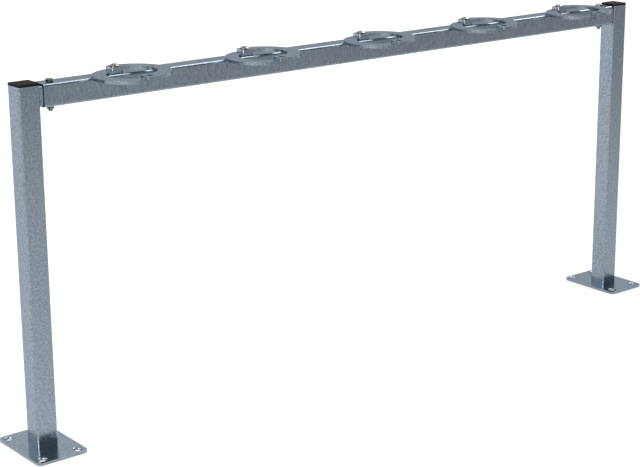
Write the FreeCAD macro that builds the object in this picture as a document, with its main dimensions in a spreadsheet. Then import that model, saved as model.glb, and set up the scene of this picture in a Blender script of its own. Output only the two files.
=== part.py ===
import FreeCAD, Part
import math
import os
import re
import Sketcher

# Sizes of the rack in millimetres, each with what it measures
SIZES = {
    "post_spacing": (1478, "between the middles of the two posts"),
    "post_length": (650, "post above its base plate"),
    "tube_side": (40, "outside width of the square tube"),
    "tube_wall": (2, "wall of the square tube"),
    "tube_corner": (4, "outside corner radius of the square tube"),
    "plate_width": (100, "base plate along the rack"),
    "plate_depth": (150, "base plate across the rack"),
    "plate_thickness": (5, "base plate thickness"),
    "plate_corner": (10, "corner radius of the base plate"),
    "anchor_width": (70, "anchor holes apart along the rack"),
    "anchor_depth": (120, "anchor holes apart across the rack"),
    "anchor_hole": (13, "anchor hole diameter"),
    "bar_gap": (7.5, "open gap between a post and the end of the bar"),
    "spigot_length": (78, "spigot beyond the face of its post"),
    "spigot_clearance": (1, "between the spigot and the inside of the bar"),
    "inner_corner": (3, "corner radius of what slides into a tube"),
    "bolt_inset": (21.5, "joint bolt from the end of the bar"),
    "bolt_diameter": (8, "joint bolt"),
    "bolt_clearance": (0.5, "between the joint bolt and its holes"),
    "bolt_flats": (13, "across the flats of the bolt head and the nut"),
    "bolt_head": (5.3, "height of the bolt head"),
    "bolt_tail": (4, "bolt end below the nut"),
    "nut_height": (6.5, "height of the nut"),
    "nut_clearance": (0.05, "between the nut and the bolt"),
    "hex_chamfer": (0.6, "chamfer of bolt heads and nuts"),
    "cap_overhang": (0.5, "cap beyond the sides of its post"),
    "cap_thickness": (4, "cap above the post"),
    "cap_chamfer": (0.8, "chamfer of the cap's top edge"),
    "cap_plug": (14, "depth of the plug inside the post"),
    "cap_wall": (2, "wall of the hollow plug"),
    "cap_clearance": (0.2, "between the plug and the inside of the post"),
    "place_pitch": (280.5, "between neighbouring lock places"),
    "jaw_thickness": (5.8, "plate of both jaws"),
    "jaw_gap": (0.1, "between the fixed jaw and the swinging jaw"),
    "jaw_radius": (57, "middle line of the ring, on which both holes lie"),
    "jaw_width": (25, "width of a jaw"),
    "jaw_end": (12, "end of a jaw beyond the middle of its hole"),
    "jaw_corner": (5, "corner radius of a jaw's end"),
    "lock_hole": (11, "padlock hole diameter"),
    "pin_diameter": (10, "pivot pin"),
    "pin_running": (0.05, "between the pin and the swinging jaw"),
    "pin_seat": (0.05, "between the pin and the fixed jaw"),
    "pin_head": (17.5, "diameter of the pin head"),
    "pin_rise": (4.4, "height of the pin head"),
    "pin_play": (0.3, "between the swinging jaw and the pin head"),
}

PLACES = 5
SIDES = (("left", -1), ("right", 1))

# Formulas that several pieces share
RACK_TOP = "(plate_thickness + post_length)"
TUBE_INSIDE = "(tube_side - 2 * tube_wall)"
BAR_LENGTH = "post_spacing - tube_side - 2 * bar_gap"
LOCK_REACH = "2 * jaw_radius"
PIN_SHANK = "2 * jaw_thickness + jaw_gap + pin_play"

ORIGIN = (-1, 1)
SKETCH_AXES = ("H_Axis", "V_Axis")

doc = FreeCAD.newDocument("ScooterRack")


# The sheet and the ways to use it

def make_sheet():
    sheet = doc.addObject("Spreadsheet::Sheet", "Sizes")
    for row, (alias, (value, note)) in enumerate(SIZES.items(), start=1):
        sheet.set(f"A{row}", note)
        sheet.set(f"B{row}", str(value))
        sheet.setAlias(f"B{row}", alias)
    doc.recompute()


def size(alias):
    return float(getattr(doc.Sizes, alias))


def bind(item, path, formula):
    """Ties one property to a formula in the sheet's names."""
    words = r"\b(" + "|".join(SIZES) + r")\b"
    item.setExpression(path, re.sub(words, r"Sizes.\1", formula))


def place(body, x="0", y="0", z="0"):
    for axis, formula in (("x", x), ("y", y), ("z", z)):
        bind(body, f"Placement.Base.{axis}", formula)


# Sketch geometry and measured constraints

def add_line(sketch, start, end):
    segment = Part.LineSegment(FreeCAD.Vector(*start, 0), FreeCAD.Vector(*end, 0))
    return sketch.addGeometry(segment, False)


def full_circle(centre, radius):
    return Part.Circle(FreeCAD.Vector(*centre, 0), FreeCAD.Vector(0, 0, 1), radius)


def add_arc(sketch, centre, radius, start, end):
    """Arc that runs anticlockwise between two directions in degrees."""
    arc = Part.ArcOfCircle(full_circle(centre, radius), math.radians(start), math.radians(end))
    return sketch.addGeometry(arc, False)


def tie(sketch, kind, *parts):
    return sketch.addConstraint(Sketcher.Constraint(kind, *parts))


def tie_to_axis(sketch, point, axis):
    """Keeps a point on one of the sketch's own axes."""
    tie(sketch, "PointOnObject", *point, -1 - SKETCH_AXES.index(axis))


def measure(sketch, kind, parts, value, formula):
    """Adds a measured constraint at its present value and binds it to a formula."""
    index = tie(sketch, kind, *parts, value)
    bind(sketch, f"Constraints[{index}]", formula)


def set_radius(sketch, curve, formula):
    measure(sketch, "Radius", (curve,), sketch.Geometry[curve].Radius, formula)


def set_distance(sketch, axis, start, end, formula):
    gap = sketch.getPoint(*end) - sketch.getPoint(*start)
    value = gap.x if axis == "X" else gap.y
    measure(sketch, "Distance" + axis, (*start, *end), value, formula)


def set_offset(sketch, axis, point, side, formula):
    """Sets how far a point lies from the origin, to the given side."""
    ends = (ORIGIN, point) if side > 0 else (point, ORIGIN)
    set_distance(sketch, axis, *ends, formula)


def add_hole(sketch, radius, x=None, y=None):
    """Round hole; x and y are a side and a formula, or nothing on the axis itself."""
    start = [20.0 * offset[0] if offset else 0.0 for offset in (x, y)]
    hole = sketch.addGeometry(full_circle(start, 5.0), False)
    set_radius(sketch, hole, radius)
    if not x and not y:
        tie(sketch, "Coincident", hole, 3, *ORIGIN)
        return
    for axis, offset, line in (("X", x, "V_Axis"), ("Y", y, "H_Axis")):
        if offset:
            set_offset(sketch, axis, (hole, 3), *offset)
        else:
            tie_to_axis(sketch, (hole, 3), line)


def rectangle(sketch, width, depth):
    """Rectangle about the origin with sharp corners."""
    corners = [(-20.0, -20.0), (20.0, -20.0), (20.0, 20.0), (-20.0, 20.0)]
    lines = [add_line(sketch, corners[i], corners[(i + 1) % 4]) for i in range(4)]
    for index, line in enumerate(lines):
        tie(sketch, "Coincident", line, 2, lines[(index + 1) % 4], 1)
        tie(sketch, "Vertical" if index % 2 else "Horizontal", line)
    tie(sketch, "Symmetric", lines[0], 1, lines[2], 1, *ORIGIN)
    set_distance(sketch, "X", (lines[0], 1), (lines[0], 2), width)
    set_distance(sketch, "Y", (lines[1], 1), (lines[1], 2), depth)


def rounded_rectangle(sketch, width, depth, corner):
    """Rectangle about the origin with four equal round corners."""
    half, bend = 30.0, 5.0
    flat = half - bend
    ends = [((-flat, -half), (flat, -half)), ((half, -flat), (half, flat)),
            ((flat, half), (-flat, half)), ((-half, flat), (-half, -flat))]
    bends = [((flat, -flat), 270), ((flat, flat), 0), ((-flat, flat), 90), ((-flat, -flat), 180)]
    lines = [add_line(sketch, start, end) for start, end in ends]
    arcs = [add_arc(sketch, centre, bend, turn, turn + 90) for centre, turn in bends]
    for index, (line, arc) in enumerate(zip(lines, arcs)):
        tie(sketch, "Tangent", line, 2, arc, 1)
        tie(sketch, "Tangent", arc, 2, lines[(index + 1) % 4], 1)
        tie(sketch, "Vertical" if index % 2 else "Horizontal", line)
    for arc in arcs[1:]:
        tie(sketch, "Equal", arcs[0], arc)
    tie(sketch, "Symmetric", arcs[0], 3, arcs[2], 3, *ORIGIN)
    set_distance(sketch, "X", (lines[3], 1), (lines[1], 1), width)
    set_distance(sketch, "Y", (lines[0], 1), (lines[2], 1), depth)
    set_radius(sketch, arcs[0], corner)


def hexagon(sketch, flats):
    """Regular hexagon about the origin, given across its flats."""
    reach = 7.0
    corners = [(reach * math.cos(math.radians(turn)), reach * math.sin(math.radians(turn)))
               for turn in range(0, 360, 60)]
    lines = [add_line(sketch, corners[i], corners[(i + 1) % 6]) for i in range(6)]
    ring = sketch.addGeometry(full_circle((0, 0), reach), True)
    tie(sketch, "Coincident", ring, 3, *ORIGIN)
    for index, line in enumerate(lines):
        tie(sketch, "Coincident", line, 2, lines[(index + 1) % 6], 1)
        tie(sketch, "PointOnObject", line, 1, ring)
    for line in lines[1:]:
        tie(sketch, "Equal", lines[0], line)
    tie_to_axis(sketch, (lines[0], 1), "H_Axis")
    set_radius(sketch, ring, f"{flats} / sqrt(3)")


# Bodies and their features

def new_body(label):
    body = doc.addObject("PartDesign::Body", label)
    body.Label = label
    return body


def new_sketch(body, name, role="XY_Plane"):
    plane = next(item for item in body.Origin.OriginFeatures if item.Role == role)
    sketch = body.newObject("Sketcher::SketchObject", name)
    sketch.AttachmentSupport = [(plane, "")]
    sketch.MapMode = "FlatFace"
    return sketch


def pad(body, name, sketch, length, side="One side", reverse=False):
    feature = body.newObject("PartDesign::Pad", name)
    feature.Profile = sketch
    feature.SideType = side
    feature.Reversed = reverse
    bind(feature, "Length", length)
    doc.recompute()
    return feature


def cut_through(body, name, sketch):
    feature = body.newObject("PartDesign::Pocket", name)
    feature.Profile = sketch
    feature.SideType = "Symmetric"
    feature.Type = "ThroughAll"
    doc.recompute()
    return feature


def chamfer_face(body, feature, height, formula):
    """Chamfers every edge of the level face at one height of the body."""
    names = [f"Face{number}" for number, face in enumerate(feature.Shape.Faces, start=1)
             if face.BoundBox.ZLength < 1e-6 and abs(face.BoundBox.ZMin - height) < 1e-6]
    edges = body.newObject("PartDesign::Chamfer", "EdgeChamfer")
    edges.Base = (feature, names)
    bind(edges, "Size", formula)
    doc.recompute()


def turn(body, corners):
    """Turned solid about the body's Z axis; each corner is a radius and a height, or None for zero."""
    sketch = new_sketch(body, "HalfSection", "XZ_Plane")
    starts = [(5.0 if radius else 0.0, 2.0 * index if height else 0.0)
              for index, (radius, height) in enumerate(corners)]
    lines = [add_line(sketch, *pair) for pair in zip(starts, starts[1:] + starts[:1])]
    for index, (radius, height) in enumerate(corners):
        tie(sketch, "Coincident", lines[index - 1], 2, lines[index], 1)
        if not radius and not height:
            tie(sketch, "Coincident", lines[index], 1, *ORIGIN)
            continue
        for axis, formula, line in (("X", radius, "V_Axis"), ("Y", height, "H_Axis")):
            if formula:
                set_offset(sketch, axis, (lines[index], 1), 1, formula)
            else:
                tie_to_axis(sketch, (lines[index], 1), line)
    feature = body.newObject("PartDesign::Revolution", "Turned")
    feature.Profile = sketch
    feature.ReferenceAxis = (sketch, ["V_Axis"])
    feature.Angle = 360


# Posts, bar and the pieces that join them

def square_tube(label, side, corner, length):
    """Square tube along its own X axis, about its middle."""
    body = new_body(label)
    section = new_sketch(body, "Section", "YZ_Plane")
    rounded_rectangle(section, side, side, corner)
    inside = f"{side} - 2 * tube_wall"
    rectangle(section, inside, inside)
    pad(body, "Tube", section, length, side="Symmetric")
    return body


def base_plate(label, side):
    body = new_body(label)
    outline = new_sketch(body, "Outline")
    rounded_rectangle(outline, "plate_width", "plate_depth", "plate_corner")
    pad(body, "Plate", outline, "plate_thickness")
    holes = new_sketch(body, "AnchorHoles")
    for across in (-1, 1):
        for deep in (-1, 1):
            add_hole(holes, "anchor_hole / 2", (across, "anchor_width / 2"), (deep, "anchor_depth / 2"))
    cut_through(body, "Anchors", holes)
    place(body, x=f"{side} * post_spacing / 2")


def post(label, side):
    body = square_tube(label, "tube_side", "tube_corner", "post_length")
    body.Placement.Rotation = FreeCAD.Rotation(FreeCAD.Vector(0, 1, 0), -90)
    place(body, x=f"{side} * post_spacing / 2", z="plate_thickness + post_length / 2")


def post_cap(label, side):
    body = new_body(label)
    flange = new_sketch(body, "Flange")
    width = "tube_side + 2 * cap_overhang"
    rounded_rectangle(flange, width, width, "tube_corner + cap_overhang")
    top = pad(body, "Top", flange, "cap_thickness")
    chamfer_face(body, top, size("cap_thickness"), "cap_chamfer")
    plug = new_sketch(body, "PlugRing")
    outside = f"{TUBE_INSIDE} - 2 * cap_clearance"
    inside = f"{outside} - 2 * cap_wall"
    rounded_rectangle(plug, outside, outside, "inner_corner")
    rectangle(plug, inside, inside)
    pad(body, "Plug", plug, "cap_plug", reverse=True)
    place(body, x=f"{side} * post_spacing / 2", z=RACK_TOP)


def spigot(label, side):
    width = f"({TUBE_INSIDE} - 2 * spigot_clearance)"
    body = square_tube(label, width, "inner_corner", "spigot_length")
    hole = new_sketch(body, "BoltHole")
    middle_to_bolt = "spigot_length / 2 - bar_gap - bolt_inset"
    add_hole(hole, "bolt_diameter / 2 + bolt_clearance", x=(side, middle_to_bolt))
    cut_through(body, "BoltCut", hole)
    place(body, x=f"{side} * (post_spacing - tube_side - spigot_length) / 2",
          z=f"{RACK_TOP} - tube_side / 2")


def crossbar(label):
    body = square_tube(label, "tube_side", "tube_corner", BAR_LENGTH)
    bolts = new_sketch(body, "BoltHoles")
    for side in (-1, 1):
        add_hole(bolts, "bolt_diameter / 2 + bolt_clearance", x=(side, f"({BAR_LENGTH}) / 2 - bolt_inset"))
    cut_through(body, "BoltCuts", bolts)
    place(body, z=f"{RACK_TOP} - tube_side / 2")


def joint_x(side):
    return f"{side} * (post_spacing / 2 - tube_side / 2 - bar_gap - bolt_inset)"


def joint_bolt(label, side):
    body = new_body(label)
    crown = new_sketch(body, "Crown")
    hexagon(crown, "bolt_flats")
    head = pad(body, "Head", crown, "bolt_head")
    chamfer_face(body, head, size("bolt_head"), "hex_chamfer")
    stem = new_sketch(body, "Stem")
    add_hole(stem, "bolt_diameter / 2")
    pad(body, "Shank", stem, "tube_side + nut_height + bolt_tail", reverse=True)
    place(body, x=joint_x(side), z=RACK_TOP)


def joint_nut(label, side):
    body = new_body(label)
    outline = new_sketch(body, "Outline")
    hexagon(outline, "bolt_flats")
    nut = pad(body, "Nut", outline, "nut_height", reverse=True)
    chamfer_face(body, nut, -size("nut_height"), "hex_chamfer")
    hole = new_sketch(body, "Thread")
    add_hole(hole, "bolt_diameter / 2 + nut_clearance")
    cut_through(body, "ThreadCut", hole)
    place(body, x=joint_x(side), z=f"{RACK_TOP} - tube_side")


# Lock places

def jaw_outline(sketch, side):
    """Half ring that bulges to one side, with a square end past each of its two holes."""
    radius, width, end, corner = (size("jaw_" + word) for word in ("radius", "width", "end", "corner"))
    half, flat = width / 2, width / 2 - corner
    first, last = (1, 2) if side > 0 else (2, 1)

    def edge(start, stop):
        return add_line(sketch, (side * start[0], start[1]), (side * stop[0], stop[1]))

    def bend(x, y, bow, start, stop):
        if side < 0:
            start, stop = 180 - stop, 180 - start
        return add_arc(sketch, (side * x, y), bow, start, stop)

    outside = bend(0, -radius, radius + half, -90, 90)
    inside = bend(0, -radius, radius - half, -90, 90)
    tie(sketch, "Coincident", inside, 3, outside, 3)
    tie_to_axis(sketch, (outside, 3), "V_Axis")
    set_offset(sketch, "Y", (outside, 3), -1, "jaw_radius")
    set_radius(sketch, outside, "jaw_radius + jaw_width / 2")
    set_radius(sketch, inside, "jaw_radius - jaw_width / 2")
    for y, before, after, reached in ((0, outside, inside, last), (-2 * radius, inside, outside, first)):
        upper = edge((0, y + half), (corner - end, y + half))
        upper_bend = bend(corner - end, y + flat, corner, 90, 180)
        tip = edge((-end, y + flat), (-end, y - flat))
        lower_bend = bend(corner - end, y - flat, corner, 180, 270)
        lower = edge((corner - end, y - half), (0, y - half))
        for joint in ((before, reached, upper, 1), (upper, 2, upper_bend, first), (upper_bend, last, tip, 1),
                      (tip, 2, lower_bend, first), (lower_bend, last, lower, 1), (lower, 2, after, reached)):
            tie(sketch, "Tangent", *joint)
        tie(sketch, "Horizontal", upper)
        tie(sketch, "Horizontal", lower)
        tie(sketch, "Vertical", tip)
        set_offset(sketch, "X", (tip, 1), -side, "jaw_end")
        set_radius(sketch, upper_bend, "jaw_corner")
        set_radius(sketch, lower_bend, "jaw_corner")


def jaw(label, step, side, clearance, lift):
    body = new_body(label)
    outline = new_sketch(body, "Outline")
    jaw_outline(outline, side)
    pad(body, "Plate", outline, "jaw_thickness")
    holes = new_sketch(body, "Eyes")
    add_hole(holes, f"pin_diameter / 2 + {clearance}")
    add_hole(holes, "lock_hole / 2", y=(-1, LOCK_REACH))
    cut_through(body, "EyeCuts", holes)
    place(body, x=f"{step} * place_pitch", z=f"{RACK_TOP} + {lift}")


def pivot_pin(label, step):
    """Turned pin that stands on the bar, with a head over the swinging jaw."""
    body = new_body(label)
    head_top = f"{PIN_SHANK} + pin_rise"
    turn(body, [
        (None, None),
        ("pin_diameter / 2", None),
        ("pin_diameter / 2", PIN_SHANK),
        ("pin_head / 2", PIN_SHANK),
        ("pin_head / 2", head_top),
        (None, head_top),
    ])
    place(body, x=f"{step} * place_pitch", z=RACK_TOP)


def build_rack():
    make_sheet()
    for name, side in SIDES:
        base_plate(f"{name}_base_plate", side)
        post(f"{name}_post", side)
        post_cap(f"{name}_post_cap", side)
        spigot(f"{name}_spigot", side)
        joint_bolt(f"{name}_joint_bolt", side)
        joint_nut(f"{name}_joint_nut", side)
    crossbar("crossbar")
    for index in range(PLACES):
        step = index - (PLACES - 1) / 2
        jaw(f"fixed_jaw_{index + 1}", step, -1, "pin_seat", "0")
        jaw(f"swing_jaw_{index + 1}", step, 1, "pin_running", "jaw_thickness + jaw_gap")
        pivot_pin(f"pivot_pin_{index + 1}", step)
    doc.recompute()


def check_rack():
    for item in doc.Objects:
        if "Invalid" in item.State or "Error" in item.State:
            raise RuntimeError(f"{item.Label} did not build: {item.State}")
        if item.TypeId == "PartDesign::Pocket" and item.Shape.Volume > item.BaseFeature.Shape.Volume - 1:
            raise RuntimeError(f"{item.Label} cut nothing")
        if item.TypeId == "PartDesign::Body":
            if item.Shape.isNull() or not item.Shape.isValid() or len(item.Shape.Solids) != 1:
                raise RuntimeError(f"{item.Label} is not one sound solid")


def write_parts():
    os.makedirs("parts", exist_ok=True)
    for item in doc.Objects:
        if item.TypeId == "PartDesign::Body":
            item.Shape.exportStep(f"parts/{item.Label}.step")


build_rack()
check_rack()
write_parts()
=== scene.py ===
import math

import bmesh
import bpy
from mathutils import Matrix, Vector


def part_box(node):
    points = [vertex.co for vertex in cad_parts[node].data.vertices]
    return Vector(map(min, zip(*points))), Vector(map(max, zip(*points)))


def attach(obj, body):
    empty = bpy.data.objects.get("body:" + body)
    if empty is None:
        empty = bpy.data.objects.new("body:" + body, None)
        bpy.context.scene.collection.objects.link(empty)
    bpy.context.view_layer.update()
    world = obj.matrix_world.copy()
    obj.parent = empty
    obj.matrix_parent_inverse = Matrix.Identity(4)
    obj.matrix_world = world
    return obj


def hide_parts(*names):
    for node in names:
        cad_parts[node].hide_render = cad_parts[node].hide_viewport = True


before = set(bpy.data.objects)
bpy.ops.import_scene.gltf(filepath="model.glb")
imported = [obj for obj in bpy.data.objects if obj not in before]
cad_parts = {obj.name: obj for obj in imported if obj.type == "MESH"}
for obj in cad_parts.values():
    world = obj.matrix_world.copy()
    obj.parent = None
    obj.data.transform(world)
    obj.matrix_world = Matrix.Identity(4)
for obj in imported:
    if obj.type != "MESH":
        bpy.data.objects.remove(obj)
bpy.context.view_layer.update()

bl_info = {
    "name": "Scooter rack finish",
    "version": (1, 0, 0),
    "blender": (4, 5, 0),
    "location": "3D View > Sidebar > Scooter rack",
    "description": "Dresses the scooter parking rack in zinc, plated bolts, oiled pins and black caps",
    "category": "Object",
}

# Lengths are in metres and angles in degrees unless a comment says otherwise

MM = 0.001

# Nodes of the frame by kind of piece

LOCK_PLACES = range(1, 6)
SIDES = ("left", "right")
JAWS = [f"{kind}_jaw_{number}" for kind in ("fixed", "swing") for number in LOCK_PLACES]
BAR = ["crossbar", *(f"{side}_spigot" for side in SIDES)]
POSTS = [f"{side}_post" for side in SIDES]
PLATES = [f"{side}_base_plate" for side in SIDES]
CAPS = [f"{side}_post_cap" for side in SIDES]
FASTENERS = [f"{side}_joint_{piece}" for side in SIDES for piece in ("bolt", "nut")]
PINS = [f"pivot_pin_{number}" for number in LOCK_PLACES]

# Zinc by kind of piece: nodes, scale of its streaks along x, y and z, roughness of smooth and of rough spots

STEELWORK = {
    "bar": (BAR, (1, 0.25, 0.25), (0.16, 0.22)),
    "post": (POSTS, (0.6, 0.6, 1), (0.16, 0.22)),
    "jaw": (JAWS, (1, 1, 0.2), (0.18, 0.24)),
    "plate": (PLATES, (1, 1, 1), (0.16, 0.22)),
}
ZINC_SPAN = (0.7, 1.3)
ZINC_RELIEF = {"Strength": 0.06, "Distance": 0.05 * MM}

# Other finishes: roughness of smooth and of rough spots, and the relief of the mould grain

PLATED_ROUGHNESS = (0.12, 0.20)
PIN_ROUGHNESS = (0.10, 0.18)
CAP_ROUGHNESS = (0.62, 0.80)
CAP_RELIEF = {"Strength": 0.2, "Distance": 0.1 * MM}
FULL_SPAN = (0.0, 1.0)

# Sockets of a Mix node that mixes colours, by number because several share a name

MIX_SHARE = 0
MIX_FIRST = 6
MIX_SECOND = 7
MIX_RESULT = 2

# Easing of edges

JOIN_DISTANCE = 0.01 * MM
FLAT_ANGLE = 0.5
EDGE_ANGLE = 35
EASE_SEGMENTS = 3
FLAT_WEIGHT = 100
SMOOTH_ANGLE = 30

# Turned shapes

TURN_STEPS = 64
TURNED_SMOOTH_ANGLE = 40

# Anchor holes: the cutter starts a little inside the hole so that no sliver of its wall is left

HOLE_RADIUS = 6.5 * MM
HOLE_OVERLAP = 0.1 * MM
HOLE_SPACING = (70 * MM, 120 * MM)
RIM_SWEEP = 80
RIM_STEPS = 10

# Pivot pins: the head has an upright rim under its dome

HEAD_HEIGHT = 4.4 * MM
HEAD_RIM = 0.9 * MM
HEAD_EASE = 0.2 * MM
SHANK_RADIUS = 5 * MM
DOME_STEPS = 12

# Floor: its own light at distances towards the back left of the rack, and a little more for the camera alone

BACK_LEFT = (-0.64, 0.77, 0)
FLOOR_LIFT = ((-4.0, 0.11), (-2.4, 0.31), (-1.2, 0.505), (-0.5, 0.58), (0.0, 0.64), (0.3, 0.74), (0.9, 0.75),
              (2.4, 0.68), (4.0, 0.60))
CAMERA_LIFT = 0.06
FLOOR_RADIUS = 14
FLOOR_CORNERS = 96

# Sky: heights over which it brightens, and the stretch towards the back left over which it leans

SKY_RISE = (0.08, 0.45)
LEAN_STRETCH = (-1.0, 0.2)
LEAN_END = 1.06

# Lamps: place, point aimed at, width, depth and power in watts

SOFTBOXES = {
    "top_softbox": ((5.05, 0.25, 6.65), (5.05, 0.25, 0.0), 5.1, 6.0, 290),
    "right_softbox": ((6.6, 2.4, 5.0), (0.0, 0.0, 0.66), 1.8, 1.8, 90),
    "left_softbox": ((-2.6, 3.1, 0.85), (0.0, 0.0, 0.85), 3.0, 1.5, 14),
    "side_softbox": ((-4.04, -1.6, 2.25), (0.0, 0.0, 0.5), 2.4, 2.0, 200),
}

# Camera: the image in pixels and the sensor in millimetres

IMAGE = (640, 467)
SENSOR_WIDTH = 36


# Colours and nodes

def linear(hex_colour):
    """Linear red, green and blue of an sRGB hex value."""
    parts = [int(hex_colour[i:i + 2], 16) / 255 for i in (1, 3, 5)]
    return tuple(c / 12.92 if c <= 0.04045 else ((c + 0.055) / 1.055) ** 2.4 for c in parts)


def add_node(tree, kind, inputs=None, **settings):
    """Adds a node, sets its settings, and sets or links its inputs."""
    node = tree.nodes.new(kind)
    for name, value in settings.items():
        setattr(node, name, value)
    for key, value in (inputs or {}).items():
        if isinstance(value, bpy.types.NodeSocket):
            tree.links.new(value, node.inputs[key])
        else:
            node.inputs[key].default_value = value
    return node


def new_material(name):
    """Empty node material with its tree and a Principled shader on the output."""
    material = bpy.data.materials.new(name)
    material.use_nodes = True
    tree = material.node_tree
    tree.nodes.clear()
    shader = add_node(tree, "ShaderNodeBsdfPrincipled")
    add_node(tree, "ShaderNodeOutputMaterial", {"Surface": shader.outputs[0]})
    return material, tree, shader


def per_metre(millimetres):
    """Texture scale whose cells have the given real size."""
    return 1 / (millimetres * MM)


def lay_mottle(tree, shader, pattern, span, colours, roughness):
    """Takes a shader's colour and roughness from one pattern, over the span of the pattern's values."""
    reach = {"Value": pattern, "From Min": span[0], "From Max": span[1]}
    share = add_node(tree, "ShaderNodeMapRange", reach).outputs[0]
    polish = add_node(tree, "ShaderNodeMapRange", {**reach, "To Min": roughness[0], "To Max": roughness[1]})
    dark, light = [(*colour, 1) for colour in colours]
    mix = {MIX_SHARE: share, MIX_FIRST: dark, MIX_SECOND: light}
    colour = add_node(tree, "ShaderNodeMix", mix, data_type="RGBA")
    tree.links.new(colour.outputs[MIX_RESULT], shader.inputs["Base Color"])
    tree.links.new(polish.outputs[0], shader.inputs["Roughness"])


# Finishes

def galvanised_steel(settings, piece, stretch, roughness):
    # Hot-dip zinc on mild steel: a cool grey metal that mirrors softly, with streaks where the zinc drained
    material, tree, shader = new_material(f"hot_dip_galvanised_{piece}")
    place = add_node(tree, "ShaderNodeTexCoord").outputs["Object"]
    drawn = add_node(tree, "ShaderNodeMapping", {"Vector": place, "Scale": stretch}).outputs[0]
    streaks = add_node(tree, "ShaderNodeTexNoise",
                       {"Vector": drawn, "Scale": per_metre(settings.streak), "Detail": 2.0}).outputs[0]
    grain = add_node(tree, "ShaderNodeTexNoise",
                     {"Vector": place, "Scale": per_metre(settings.grain), "Detail": 2.0}).outputs[0]
    mottle = add_node(tree, "ShaderNodeMath", {0: streaks, 1: grain}, operation="ADD").outputs[0]
    lay_mottle(tree, shader, mottle, ZINC_SPAN, (settings.zinc_dark, settings.zinc_light), roughness)
    bump = add_node(tree, "ShaderNodeBump", {"Height": mottle, **ZINC_RELIEF})
    tree.links.new(bump.outputs[0], shader.inputs["Normal"])
    shader.inputs["Metallic"].default_value = 1.0
    shader.inputs["Specular Tint"].default_value = (*settings.zinc_edge, 1)
    return material


def zinc_plate(settings):
    # Electroplated zinc on bolts: smoother than the hot-dip coat, a little darker, and neutral in colour
    material, tree, shader = new_material("zinc_plated_steel")
    place = add_node(tree, "ShaderNodeTexCoord").outputs["Object"]
    haze = add_node(tree, "ShaderNodeTexNoise",
                    {"Vector": place, "Scale": per_metre(settings.plated_haze), "Detail": 3.0}).outputs[0]
    lay_mottle(tree, shader, haze, FULL_SPAN, (settings.plated_dark, settings.plated_light), PLATED_ROUGHNESS)
    shader.inputs["Metallic"].default_value = 1.0
    return material


def oiled_steel(settings):
    # Turned steel with a film of oil: a neutral grey, darker than the zinc, with a sharp light on the dome
    material, tree, shader = new_material("oiled_dark_steel")
    place = add_node(tree, "ShaderNodeTexCoord").outputs["Object"]
    film = add_node(tree, "ShaderNodeTexNoise",
                    {"Vector": place, "Scale": per_metre(settings.pin_film), "Detail": 2.0}).outputs[0]
    lay_mottle(tree, shader, film, FULL_SPAN, (settings.pin_dark, settings.pin_light), PIN_ROUGHNESS)
    shader.inputs["Metallic"].default_value = 1.0
    return material


def black_plastic(settings):
    # Moulded polyethylene: black and matt, with a mould grain that is drawn coarser than it is, to show
    material, tree, shader = new_material("moulded_polyethylene")
    place = add_node(tree, "ShaderNodeTexCoord").outputs["Object"]
    grain = add_node(tree, "ShaderNodeTexNoise",
                     {"Vector": place, "Scale": per_metre(settings.cap_grain), "Detail": 4.0}).outputs[0]
    lay_mottle(tree, shader, grain, FULL_SPAN, (settings.cap_dark, settings.cap_light), CAP_ROUGHNESS)
    bump = add_node(tree, "ShaderNodeBump", {"Height": grain, **CAP_RELIEF})
    tree.links.new(bump.outputs[0], shader.inputs["Normal"])
    shader.inputs["IOR"].default_value = 1.5
    shader.inputs["Specular IOR Level"].default_value = 0.1
    return material


# Shapes

def join_corners(piece):
    """Joins the corners that neighbouring faces of a piece share."""
    weld = piece.modifiers.new("join corners", "WELD")
    weld.merge_threshold = JOIN_DISTANCE


def finish_piece(piece, material, edge):
    """Gives a piece its finish and eases its sharp edges by a width."""
    if not piece.material_slots:
        piece.data.materials.append(material)
    for slot in piece.material_slots:
        slot.material = material
    join_corners(piece)
    flats = piece.modifiers.new("clear flats", "DECIMATE")
    flats.decimate_type = "DISSOLVE"
    flats.angle_limit = math.radians(FLAT_ANGLE)
    ease = piece.modifiers.new("ease edges", "BEVEL")
    ease.width = edge
    ease.segments = EASE_SEGMENTS
    ease.limit_method = "ANGLE"
    ease.angle_limit = math.radians(EDGE_ANGLE)
    even = piece.modifiers.new("keep flats flat", "WEIGHTED_NORMAL")
    even.weight = FLAT_WEIGHT
    even.keep_sharp = True
    smooth_by_angle(piece.data, SMOOTH_ANGLE)


def smooth_by_angle(mesh, degrees):
    """Shades a mesh smooth apart from edges that turn by more than an angle."""
    for polygon in mesh.polygons:
        polygon.use_smooth = True
    mesh.set_sharp_from_angle(angle=math.radians(degrees))


def turned_piece(name, profile, centre):
    """Solid of revolution about an upright axis from a list of radii and heights."""
    shape = bmesh.new()
    turns = [2 * math.pi * step / TURN_STEPS for step in range(TURN_STEPS)]
    rings = []
    for radius, height in profile:
        if radius == 0:
            rings.append([shape.verts.new((centre[0], centre[1], height))])
            continue
        spots = [(centre[0] + radius * math.cos(a), centre[1] + radius * math.sin(a)) for a in turns]
        rings.append([shape.verts.new((*spot, height)) for spot in spots])
    for low, high in zip(rings, rings[1:]):
        for step in range(TURN_STEPS):
            after = (step + 1) % TURN_STEPS
            corners = [low[step % len(low)], low[after % len(low)]]
            corners += [high[after % len(high)], high[step % len(high)]]
            shape.faces.new(list(dict.fromkeys(corners)))
    bmesh.ops.recalc_face_normals(shape, faces=shape.faces)
    mesh = bpy.data.meshes.new(name)
    shape.to_mesh(mesh)
    shape.free()
    smooth_by_angle(mesh, TURNED_SMOOTH_ANGLE)
    piece = bpy.data.objects.new(name, mesh)
    bpy.context.scene.collection.objects.link(piece)
    return piece


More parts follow.
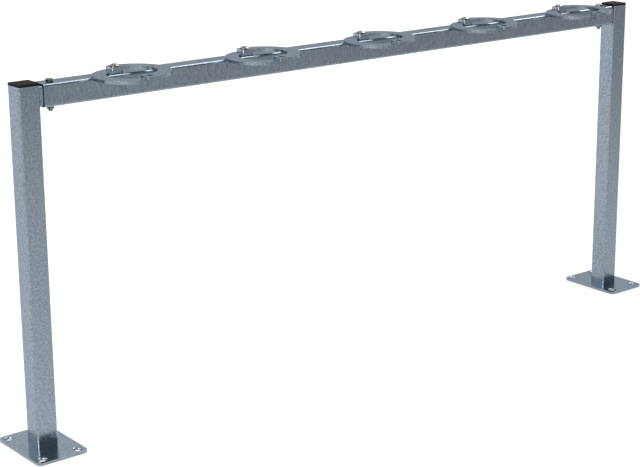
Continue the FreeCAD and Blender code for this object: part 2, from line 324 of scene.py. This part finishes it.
def rim_profile(rim, top):
    """Radii and heights of a cutter that rounds an anchor hole's upper rim."""
    turns = [math.radians(RIM_SWEEP * step / RIM_STEPS) for step in range(RIM_STEPS + 1)]
    start = HOLE_RADIUS - HOLE_OVERLAP
    curve = [(start + rim - rim * math.cos(a), top - rim + rim * math.sin(a)) for a in turns]
    return [(0, top - rim), *curve, (curve[-1][0], top + rim), (0, top + rim)]


def flared_plate(name, rim):
    """Copy of a base plate with the upper rims of its anchor holes rounded."""
    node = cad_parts[name]
    low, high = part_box(name)
    centre = (low + high) / 2
    mesh = node.data.copy()
    mesh.transform(node.matrix_world)
    plate = bpy.data.objects.new(f"flared_{name}", mesh)
    bpy.context.scene.collection.objects.link(plate)
    join_corners(plate)
    cutters = []
    for side in (-1, 1):
        for end in (-1, 1):
            spot = (centre.x + side * HOLE_SPACING[0] / 2, centre.y + end * HOLE_SPACING[1] / 2)
            cutters.append(turned_piece("rim_cutter", rim_profile(rim, high.z), spot))
            cut = plate.modifiers.new("round rim", "BOOLEAN")
            cut.object = cutters[-1]
            cut.solver = "EXACT"
    shape = bmesh.new()
    shape.from_object(plate, bpy.context.evaluated_depsgraph_get())
    plate.modifiers.clear()
    shape.to_mesh(mesh)
    shape.free()
    for cutter in cutters:
        bpy.data.objects.remove(cutter)
    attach(plate, "rack")
    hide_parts(name)
    return plate


def domed_head(radius, top):
    """Radii and heights of a pin head's dome, from its rim to just short of its middle."""
    drop = HEAD_HEIGHT - HEAD_RIM
    ball = (radius ** 2 + drop ** 2) / (2 * drop)
    spread = math.asin(radius / ball)
    turns = [spread * (1 - step / DOME_STEPS) for step in range(DOME_STEPS)]
    return [(ball * math.sin(a), top - ball + ball * math.cos(a)) for a in turns]


# Sizes and colours that a user may change

class RackFinish(bpy.types.PropertyGroup):
    """Finish of the rack's pieces."""
    edge: bpy.props.FloatProperty(
        name="Eased edge", description="Rounding left by the zinc on cut edges",
        default=0.6 * MM, unit="LENGTH")
    jaw_edge: bpy.props.FloatProperty(
        name="Eased jaw edge", description="Rounding left by the zinc on the jaws' cut edges",
        default=0.1 * MM, unit="LENGTH")
    bolt_edge: bpy.props.FloatProperty(
        name="Eased bolt edge", description="Rounding of the corners of bolt heads and nuts",
        default=0.8 * MM, unit="LENGTH")
    cap_edge: bpy.props.FloatProperty(
        name="Eased cap edge", description="Rounding of the caps' moulded edges",
        default=0.4 * MM, unit="LENGTH")
    rim: bpy.props.FloatProperty(
        name="Hole rim", description="Rounding of the anchor holes' upper rims",
        default=3.6 * MM, unit="LENGTH")
    streak: bpy.props.FloatProperty(
        name="Zinc streak", description="Width of one streak of the zinc in millimetres", default=3.0)
    grain: bpy.props.FloatProperty(
        name="Zinc grain", description="Width of one grain of the zinc in millimetres", default=4.0)
    plated_haze: bpy.props.FloatProperty(
        name="Plated haze", description="Width of one patch of haze on the bolts in millimetres", default=3.0)
    pin_film: bpy.props.FloatProperty(
        name="Pin film", description="Width of one patch of oil on the pins in millimetres", default=4.0)
    cap_grain: bpy.props.FloatProperty(
        name="Cap grain", description="Width of one grain of the caps in millimetres", default=1.2)
    zinc_dark: bpy.props.FloatVectorProperty(
        name="Zinc, dark", description="Darker streaks of the hot-dip coat",
        subtype="COLOR", default=linear("#7A858F"))
    zinc_light: bpy.props.FloatVectorProperty(
        name="Zinc, light", description="Lighter streaks of the hot-dip coat",
        subtype="COLOR", default=linear("#9AA6B0"))
    zinc_edge: bpy.props.FloatVectorProperty(
        name="Zinc, low angle", description="Tint of the hot-dip coat seen at a low angle",
        subtype="COLOR", default=linear("#EDF6FF"))
    plated_dark: bpy.props.FloatVectorProperty(
        name="Plated, dark", description="Darker haze on the bolts",
        subtype="COLOR", default=linear("#6C706F"))
    plated_light: bpy.props.FloatVectorProperty(
        name="Plated, light", description="Lighter haze on the bolts",
        subtype="COLOR", default=linear("#888C8B"))
    pin_dark: bpy.props.FloatVectorProperty(
        name="Pin, dark", description="Darker film on the pivot pins",
        subtype="COLOR", default=linear("#767573"))
    pin_light: bpy.props.FloatVectorProperty(
        name="Pin, light", description="Lighter film on the pivot pins",
        subtype="COLOR", default=linear("#8E8D8A"))
    cap_dark: bpy.props.FloatVectorProperty(
        name="Cap, dark", description="Darker grain of the caps",
        subtype="COLOR", default=linear("#101010"))
    cap_light: bpy.props.FloatVectorProperty(
        name="Cap, light", description="Lighter grain of the caps",
        subtype="COLOR", default=linear("#222222"))


class RackStudio(bpy.types.PropertyGroup):
    """Camera and light of the stage."""
    eye: bpy.props.FloatVectorProperty(
        name="Camera", description="Place of the camera",
        subtype="TRANSLATION", default=(-2.03964, -2.44176, 1.17873))
    turn: bpy.props.FloatProperty(
        name="Turn", description="Camera's turn to the right of the rack's depth",
        default=0.69779, subtype="ANGLE")
    dip: bpy.props.FloatProperty(
        name="Dip", description="Camera's tilt below level", default=0.26278, subtype="ANGLE")
    focal: bpy.props.FloatProperty(
        name="Focal length", description="Focal length in pixels of the image", default=1635.99)
    middle: bpy.props.FloatVectorProperty(
        name="Optical middle", description="Pixel that the camera points at",
        size=2, default=(363.85, 202.41))
    sky: bpy.props.FloatProperty(
        name="Sky", description="Strength of the soft light from above", default=0.925)
    horizon: bpy.props.FloatProperty(
        name="Horizon", description="Strength of the soft light low down", default=0.325)
    lean: bpy.props.FloatProperty(
        name="Lean", description="How much weaker the soft light is at the front right", default=0.60)
    floor: bpy.props.FloatVectorProperty(
        name="Floor", description="Colour of the floor", subtype="COLOR", default=linear("#A3A3A3"))
    side_tint: bpy.props.FloatVectorProperty(
        name="Side lamp", description="Colour of the side softbox",
        subtype="COLOR", default=linear("#FFEADB"))


# Operators, one for each group of pieces and one for the stage

class RACK_OT_steelwork(bpy.types.Operator):
    """Finishes the tubes, plates and jaws in galvanised steel"""
    bl_idname = "rack.steelwork"
    bl_label = "Steelwork"

    def execute(self, context):
        settings = context.scene.rack_finish
        for piece, (names, stretch, roughness) in STEELWORK.items():
            steel = galvanised_steel(settings, piece, stretch, roughness)
            edge = settings.jaw_edge if piece == "jaw" else settings.edge
            for name in names:
                shape = flared_plate(name, settings.rim) if piece == "plate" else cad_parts[name]
                finish_piece(shape, steel, edge)
        return {"FINISHED"}


class RACK_OT_fasteners(bpy.types.Operator):
    """Finishes the joint bolts and nuts in plated zinc"""
    bl_idname = "rack.fasteners"
    bl_label = "Joint bolts and nuts"

    def execute(self, context):
        settings = context.scene.rack_finish
        zinc = zinc_plate(settings)
        for name in FASTENERS:
            finish_piece(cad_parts[name], zinc, settings.bolt_edge)
        return {"FINISHED"}


class RACK_OT_pins(bpy.types.Operator):
    """Turns the domed pivot pins"""
    bl_idname = "rack.pins"
    bl_label = "Pivot pins"

    def execute(self, context):
        steel = oiled_steel(context.scene.rack_finish)
        for name in PINS:
            low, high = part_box(name)
            centre = (low + high) / 2
            radius = (high.x - low.x) / 2
            seat = high.z - HEAD_HEIGHT
            shank = [(0, low.z), (SHANK_RADIUS, low.z), (SHANK_RADIUS, seat)]
            rim = [(radius - HEAD_EASE, seat), (radius, seat + HEAD_EASE)]
            profile = [*shank, *rim, *domed_head(radius, high.z), (0, high.z)]
            pin = turned_piece(f"domed_{name}", profile, centre)
            pin.data.materials.append(steel)
            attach(pin, "rack")
            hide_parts(name)
        return {"FINISHED"}


class RACK_OT_caps(bpy.types.Operator):
    """Finishes the post caps in black plastic"""
    bl_idname = "rack.caps"
    bl_label = "Post caps"

    def execute(self, context):
        settings = context.scene.rack_finish
        plastic = black_plastic(settings)
        for name in CAPS:
            finish_piece(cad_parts[name], plastic, settings.cap_edge)
        return {"FINISHED"}


class RACK_OT_stage(bpy.types.Operator):
    """Sets the floor, the light and the camera"""
    bl_idname = "rack.stage"
    bl_label = "Stage"

    def execute(self, context):
        scene = context.scene
        studio = scene.rack_studio
        scene.view_settings.view_transform = "Standard"
        self.set_floor(studio)
        self.set_sky(scene, studio)
        lamps = {name: self.add_softbox(scene, name, *setting) for name, setting in SOFTBOXES.items()}
        # The side lamp makes the glints on upright corners and hole rims, and lights nothing matt
        side = lamps["side_softbox"]
        side.data.color = studio.side_tint
        side.visible_diffuse = False
        self.set_camera(scene, studio)
        return {"FINISHED"}

    def set_floor(self, studio):
        # Pale matt floor, white to the eye and in reflections, dimmer at the front right, with a soft shadow
        material, tree, shader = new_material("pale_studio_floor")
        shader.inputs["Base Color"].default_value = (*studio.floor, 1)
        shader.inputs["Roughness"].default_value = 1.0
        shader.inputs["Specular IOR Level"].default_value = 0.0
        path = add_node(tree, "ShaderNodeLightPath").outputs
        seen = path["Is Camera Ray"]
        for ray in ("Is Glossy Ray", "Is Transmission Ray"):
            seen = add_node(tree, "ShaderNodeMath", {0: seen, 1: path[ray]}, operation="MAXIMUM").outputs[0]
        share = self.floor_share(tree)
        lift = add_node(tree, "ShaderNodeMath", {0: seen, 1: share}, operation="MULTIPLY").outputs[0]
        lift = add_node(tree, "ShaderNodeMath", {0: path["Is Camera Ray"], 1: CAMERA_LIFT, 2: lift},
                        operation="MULTIPLY_ADD").outputs[0]
        glow = add_node(tree, "ShaderNodeEmission", {"Strength": lift})
        both = add_node(tree, "ShaderNodeAddShader", {0: shader.outputs[0], 1: glow.outputs[0]})
        output = next(node for node in tree.nodes if node.type == "OUTPUT_MATERIAL")
        tree.links.new(both.outputs[0], output.inputs["Surface"])
        bpy.ops.mesh.primitive_circle_add(vertices=FLOOR_CORNERS, radius=FLOOR_RADIUS, fill_type="NGON",
                                          location=(0, 0, 0))
        floor = bpy.context.object
        floor.name = "studio_floor"
        floor.data.materials.append(material)

    def floor_share(self, tree):
        """Socket with the floor's own light at each place."""
        near, far = FLOOR_LIFT[0][0], FLOOR_LIFT[-1][0]
        place = add_node(tree, "ShaderNodeTexCoord").outputs["Object"]
        depth = add_node(tree, "ShaderNodeVectorMath", {0: place, 1: BACK_LEFT}, operation="DOT_PRODUCT")
        reach = add_node(tree, "ShaderNodeMapRange",
                         {"Value": depth.outputs["Value"], "From Min": near, "From Max": far})
        share = add_node(tree, "ShaderNodeValToRGB", {0: reach.outputs[0]})
        stops = share.color_ramp.elements
        for distance, _ in FLOOR_LIFT[1:-1]:
            stops.new((distance - near) / (far - near))
        for stop, (_, level) in zip(stops, FLOOR_LIFT):
            stop.color = (level, level, level, 1)
        return share.outputs[0]

    def set_sky(self, scene, studio):
        # Even white light from above, weaker low down and at the front right
        world = bpy.data.worlds.new("even_studio_light")
        scene.world = world
        world.use_nodes = True
        tree = world.node_tree
        tree.nodes.clear()
        towards = add_node(tree, "ShaderNodeTexCoord").outputs["Generated"]
        height = add_node(tree, "ShaderNodeSeparateXYZ", {0: towards}).outputs["Z"]
        dome = add_node(tree, "ShaderNodeMapRange",
                        {"Value": height, "From Min": SKY_RISE[0], "From Max": SKY_RISE[1],
                         "To Min": studio.horizon, "To Max": studio.sky},
                        interpolation_type="SMOOTHSTEP").outputs[0]
        depth = add_node(tree, "ShaderNodeVectorMath", {0: towards, 1: BACK_LEFT}, operation="DOT_PRODUCT")
        tilt = add_node(tree, "ShaderNodeMapRange",
                        {"Value": depth.outputs["Value"],
                         "From Min": LEAN_STRETCH[0], "From Max": LEAN_STRETCH[1],
                         "To Min": 1 - studio.lean, "To Max": LEAN_END}).outputs[0]
        strength = add_node(tree, "ShaderNodeMath", {0: dome, 1: tilt}, operation="MULTIPLY").outputs[0]
        light = add_node(tree, "ShaderNodeBackground", {"Color": (1, 1, 1, 1), "Strength": strength})
        add_node(tree, "ShaderNodeOutputWorld", {"Surface": light.outputs[0]})

    def add_softbox(self, scene, name, place, target, width, depth, power):
        lamp = bpy.data.lights.new(name, "AREA")
        lamp.shape = "RECTANGLE"
        lamp.size = width
        lamp.size_y = depth
        lamp.energy = power
        box = bpy.data.objects.new(name, lamp)
        box.location = place
        box.rotation_euler = (Vector(target) - Vector(place)).to_track_quat("-Z", "Y").to_euler()
        scene.collection.objects.link(box)
        return box

    def set_camera(self, scene, studio):
        lens = bpy.data.cameras.new("camera")
        lens.sensor_width = SENSOR_WIDTH
        lens.lens = studio.focal * SENSOR_WIDTH / IMAGE[0]
        lens.shift_x = (IMAGE[0] / 2 - studio.middle[0]) / IMAGE[0]
        lens.shift_y = (studio.middle[1] - IMAGE[1] / 2) / IMAGE[0]
        camera = bpy.data.objects.new("camera", lens)
        camera.location = studio.eye
        camera.rotation_euler = (math.pi / 2 - studio.dip, 0, -studio.turn)
        scene.collection.objects.link(camera)
        scene.camera = camera


class RACK_PT_panel(bpy.types.Panel):
    """Lists the rack's operators and settings"""
    bl_idname = "RACK_PT_panel"
    bl_label = "Scooter rack"
    bl_space_type = "VIEW_3D"
    bl_region_type = "UI"
    bl_category = "Scooter rack"

    def draw(self, context):
        for operator in OPERATORS:
            self.layout.operator(operator.bl_idname)
        for group in (context.scene.rack_finish, context.scene.rack_studio):
            column = self.layout.column()
            for name in group.__annotations__:
                column.prop(group, name)


OPERATORS = (RACK_OT_steelwork, RACK_OT_fasteners, RACK_OT_pins, RACK_OT_caps, RACK_OT_stage)
CLASSES = (RackFinish, RackStudio, *OPERATORS, RACK_PT_panel)


def register():
    for item in CLASSES:
        bpy.utils.register_class(item)
    bpy.types.Scene.rack_finish = bpy.props.PointerProperty(type=RackFinish)
    bpy.types.Scene.rack_studio = bpy.props.PointerProperty(type=RackStudio)


def unregister():
    del bpy.types.Scene.rack_finish
    del bpy.types.Scene.rack_studio
    for item in reversed(CLASSES):
        bpy.utils.unregister_class(item)


def main():
    register()
    bpy.ops.rack.steelwork()
    bpy.ops.rack.fasteners()
    bpy.ops.rack.pins()
    bpy.ops.rack.caps()
    bpy.ops.rack.stage()


if __name__ == "__main__":
    main()
